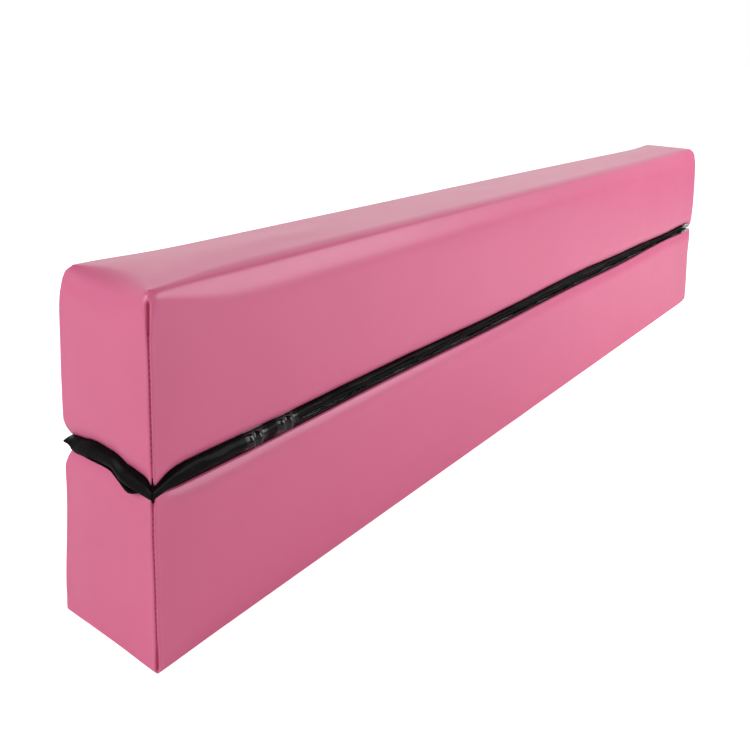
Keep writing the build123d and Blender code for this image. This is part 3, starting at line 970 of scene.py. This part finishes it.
def flap_hang(half, x, y, on_end, s):
    """The strip's edge at each station: how far out and at what height, in millimetres."""
    wave = 0.9 * np.sin(x * 62 + 1.3) + 0.6 * np.sin(x * 131 + 0.4)
    if half == "upper":
        bunch = np.where(y < 0, bell(x - PLEAT_BUNCHES[0], 0.0062) + bell(x - PLEAT_BUNCHES[1], 0.0075), 0)
        pleat = 0.5 + 0.5 * np.sin(2 * math.pi * x / PLEAT)
        near_out = through(x, [-0.575, -0.50, -0.38], [1.2, 0.2, -1.2]) + bunch * (0.2 + 2.6 * pleat)
        near_down = through(x, [-0.575, -0.545, -0.505, -0.38], [-2.0, -1.2, -1.4, 5.6])
        out, down = np.where(y < 0, near_out, 1.0), np.where(y < 0, near_down, 2.5)
        out, down = out + 0.3 * wave, down + 0.7 * wave * ease(s / 0.02)
        down = down + (-3.4 - down) * np.minimum(bunch, 1)
        end_down = through(y, [-0.05, -0.030, -0.020, -0.0083, 0.0109, 0.0322, 0.0432, 0.05],
                           [-3.2, -1.8, -0.5, 4.0, 4.2, 1.6, 4.6, 5.2])
        end_out = through(y, [-0.05, -0.03, -0.01, 0.02, 0.05], [2.8, 3.4, 2.2, 3.0, 1.6])
    else:
        out = np.where(y < 0, -3.0, -1.0) + 0.25 * wave
        down = np.where(y < 0, 3.0, 4.0) + 0.4 * wave
        end_out = -1.0 + 3.6 * bell(y + 0.029, 0.018)
        end_down = through(y, [-0.05, -0.043, -0.029, -0.0155, -0.004, 0.05], [2.4, 3.0, 7.0, 3.6, 1.0, 1.4])
    out, down = np.where(on_end, end_out, out), np.where(on_end, end_down, down)
    tip, (at_end, at_side, tip_down) = bell(s, TIP_REACH[half]), tips(half, y)
    return out + (np.where(on_end, at_end, at_side) - out) * tip, down + (tip_down - down) * tip


def make_flap(half):
    """The strip, from under the hem out over the zip, with its cut edge hanging free."""
    sign = UPWARDS[half]
    x, y, on_end, s = flap_line()
    out, down = flap_hang(half, x, y, on_end, s)
    hem, inset = cover_cut(half, x, y, ~on_end, s)[:2]
    root_out, root_height = -inset / MM - 0.5, hem / MM - 0.7
    corner_end, corner_side = tips(half, y)[:2]
    rows = []
    for step in [-0.5, -0.3, -0.1, *np.linspace(0, 1, 10)]:
        bent, allowance = max(step, 0), -min(step, 0)
        lift_out = np.maximum(out - 0.1, root_out + 1)
        lift_height = root_height - 0.8 if half == "upper" else np.minimum(root_height, down) - 1.2
        reach = (1 - bent) ** 2 * root_out + 2 * bent * (1 - bent) * lift_out + bent ** 2 * out
        height = (1 - bent) ** 2 * root_height + 2 * bent * (1 - bent) * lift_height + bent ** 2 * down
        reach, height = reach - 0.35 * min(1, 5 * allowance), height + 12 * allowance
        wavy = 0.3 * np.sin(9 * bent + x * 40 + y * 90) + 0.25 * np.sin(5 * bent - x * 230 + y * 170)
        reach = reach + bent * wavy
        aside = np.where(on_end, corner_side, corner_end) - root_out
        aside = root_out + aside * (1 - (1 - bent) ** 2)
        turned_x = np.where(on_end, x - reach * MM, x - aside * MM * bell(s, 0.012))
        turned_y = y + np.sign(y) * MM * np.where(on_end, aside * (np.abs(y) / HALF_WIDTH) ** 4, reach)
        rows.append(np.stack([turned_x, turned_y, fold_height + sign * height * MM], 1))
    rows = np.stack(rows)
    count, size = rows.shape[:2]
    faces = [face[::sign] for face in quads_over(np.arange(count * size).reshape(count, size))]
    piece = new_mesh(f"{half}_glossy_flap", rows.reshape(-1, 3), faces, flap_vinyl)
    thicken(piece, FLAP_CLOTH, 0)
    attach(piece, f"{half}_half")
    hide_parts(f"{half}_zip_flap")
    return piece


for half, sign in UPWARDS.items():
    flap = make_flap(half)
    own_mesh(flap)

# ---- the base sheets and the fold ----
# Black non-slip vinyl with a pebbled face closes each block below. One length of it runs from
# block to block round the far end, and its bend is the hinge.


def pebbled_vinyl():
    """Black vinyl pressed with small round pebbles, lighter in cloudy patches of dust and lightest on the
    pebbles' raised tops as a painted highlight.
    """
    finish = Finish(bpy.data.materials.new("base_vinyl"), Specular_IOR_Level=0.15)
    place = finish.place()
    pebbles = finish.cells(place, 420.0, "SMOOTH_F1")
    dust = finish.noise(place, 25.0, 4.0)
    # The cloudy dust shows only on each pebble's raised top, lightest at its centre: dust with a painted
    # highlight.
    colour = finish.mix(dust * (1 - pebbles), (0.004, 0.004, 0.0045, 1), (0.014, 0.013, 0.014, 1))
    pressed = finish.bump(1 - pebbles, 0.0003)
    return finish.feed(Base_Color=colour, Roughness=0.50 + 0.15 * dust, Normal=pressed)


base_vinyl = pebbled_vinyl()
SHEET_WALL = 0.75 * MM


def make_base_sheet(half):
    """A base sheet, pulled a little wavy by the zip that is sewn along its edge."""
    low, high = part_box(f"{half}_base_sheet")
    width, length = high.y - low.y, high.x - low.x
    along, across = graded(length, 0.002, 0.010, 1.5), graded(width, 0.002, 0.007, 1.5)
    middle_x, middle_z = (low.x + high.x) / 2, (low.z + high.z) / 2
    points = []
    for x in along:
        for y in across:
            edge = 1 - ease((high.y - abs(y)) / 0.008)
            dip = 0.10 * MM * edge * math.sin(x * 330) + 0.05 * MM * math.sin(x * 47 + y * 60)
            points.append((middle_x + x, y, middle_z + dip))
    faces = quads_over(np.arange(len(points)).reshape(len(along), len(across)))
    piece = new_mesh(f"{half}_pebbled_base", points, faces, base_vinyl)
    thicken(piece, SHEET_WALL, 0)
    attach(piece, f"{half}_half")
    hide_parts(f"{half}_base_sheet")


make_base_sheet("upper")
make_base_sheet("lower")

FOLD_BULGE, FOLD_LENGTH, FOLD_WALL = 2.6 * MM, 11 * MM, 0.7 * MM


def make_fold():
    """The bend of the sheet, hanging slack in a small loop past the blocks' ends."""
    low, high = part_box("hinge_fold")
    span = (high.z - low.z) / 2 - 0.5 * MM
    points = []
    across = graded(high.y - low.y, 0.002, 0.006, 1.4)
    turns = np.linspace(-math.pi / 2, math.pi / 2, 17)
    for y in across:
        bulge = FOLD_BULGE + 0.35 * MM * math.sin(y * 95 + 0.5)
        points.append((low.x - 1.5 * MM, y, fold_height - span))
        for turn in turns:
            swollen = span * (1 + 0.5 * math.cos(turn) ** 2)
            x, z = low.x + 0.3 * MM + bulge * math.cos(turn), fold_height + swollen * math.sin(turn)
            points.append((x, y, z))
        points.append((low.x - 1.5 * MM, y, fold_height + span))
    faces = quads_over(np.arange(len(points)).reshape(len(across), len(turns) + 2))
    piece = new_mesh("base_fold", points, faces, base_vinyl)
    thick = thicken(piece, FOLD_WALL, 0)
    bpy.context.view_layer.objects.active = piece
    with bpy.context.temp_override(object=piece, active_object=piece):
        bpy.ops.object.modifier_apply(modifier=thick.name)
    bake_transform(piece)
    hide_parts("hinge_fold")


make_fold()
